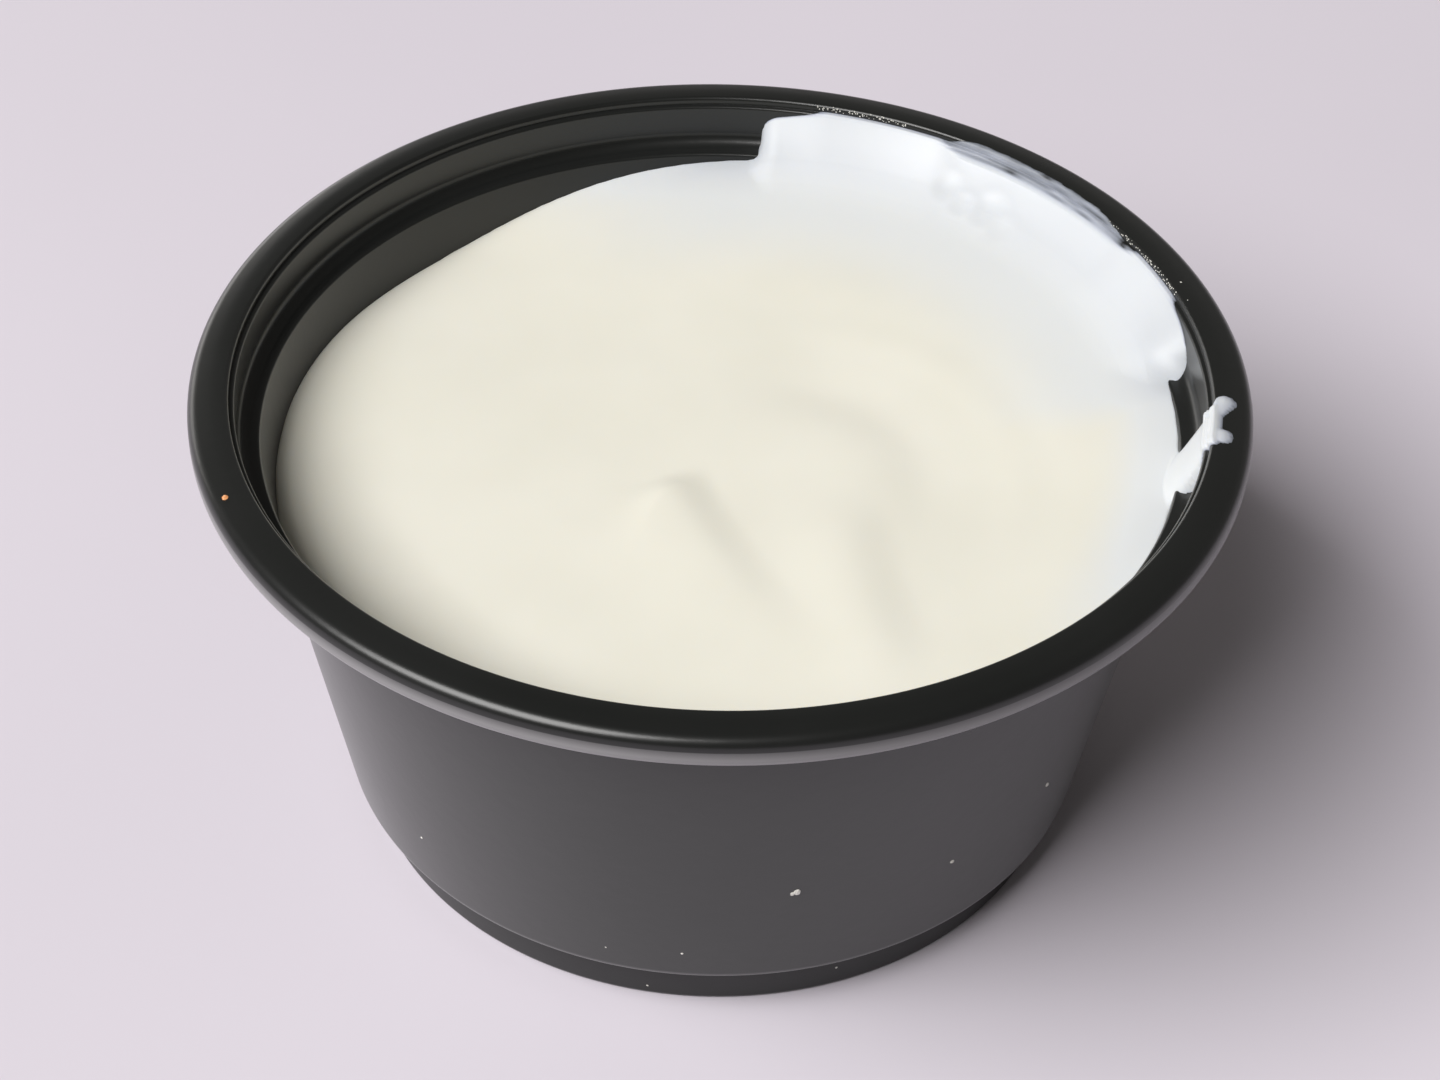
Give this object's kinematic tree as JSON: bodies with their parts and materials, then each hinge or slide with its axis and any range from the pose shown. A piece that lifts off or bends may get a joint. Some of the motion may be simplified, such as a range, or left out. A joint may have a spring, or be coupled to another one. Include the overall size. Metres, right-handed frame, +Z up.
{
  "type": "sauce tub filled with garlic sauce",
  "caption": "Round black plastic portion tub with a rolled rim, a lid ledge and a stepped foot, filled with thick cream-white garlic sauce that climbs the wall at one side.",
  "frame": {"origin": "middle of the flat underside of the foot", "axes": "+Z up through the middle of the rim, -Y towards the front of the picture's view, +X to its right"},
  "size_m": [0.062, 0.062, 0.0302],
  "materials": {
    "black_plastic": "satin black moulded plastic, a little glossier inside",
    "garlic_sauce": "smooth cream-white sauce with a soft wet sheen"
  },
  "bodies": {
    "root": {"tub": "black_plastic", "sauce": "garlic_sauce"}
  },
  "joints": []
}
